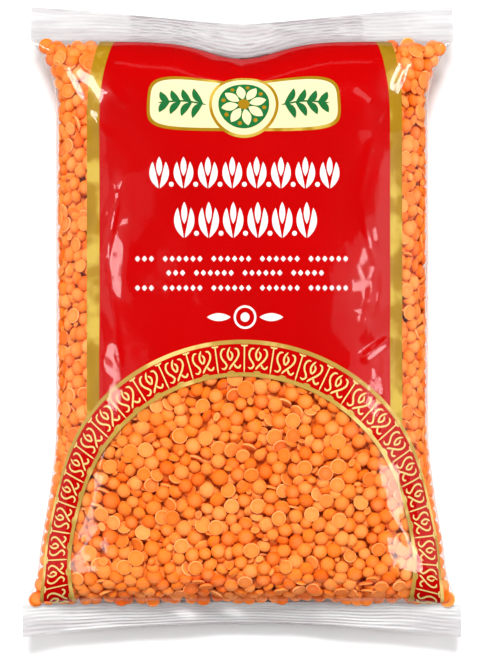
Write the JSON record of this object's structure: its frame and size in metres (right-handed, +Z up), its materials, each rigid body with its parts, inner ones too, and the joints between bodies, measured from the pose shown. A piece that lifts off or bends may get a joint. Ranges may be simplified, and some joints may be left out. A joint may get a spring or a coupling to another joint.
{
  "type": "bag of lentils",
  "caption": "Clear pillow bag of split red lentils with crimped end seals and a red and gold printed panel, lying on its back.",
  "frame": {"origin": "middle of the flat underside, below the centre of the bag's outline", "axes": "+X across the bag to the right of the printed face, +Y along the bag towards its top seal, +Z up, out of the printed face"},
  "size_m": [0.142, 0.2042, 0.0367],
  "materials": {
    "lentils": "matte",
    "film": "gloss",
    "seal_film": "gloss",
    "red_print": "gloss",
    "gold_print": "gloss",
    "cream_print": "gloss",
    "white_print": "gloss",
    "green_print": "gloss"
  },
  "bodies": {
    "root": {"bag": "lentils"}
  },
  "joints": []
}
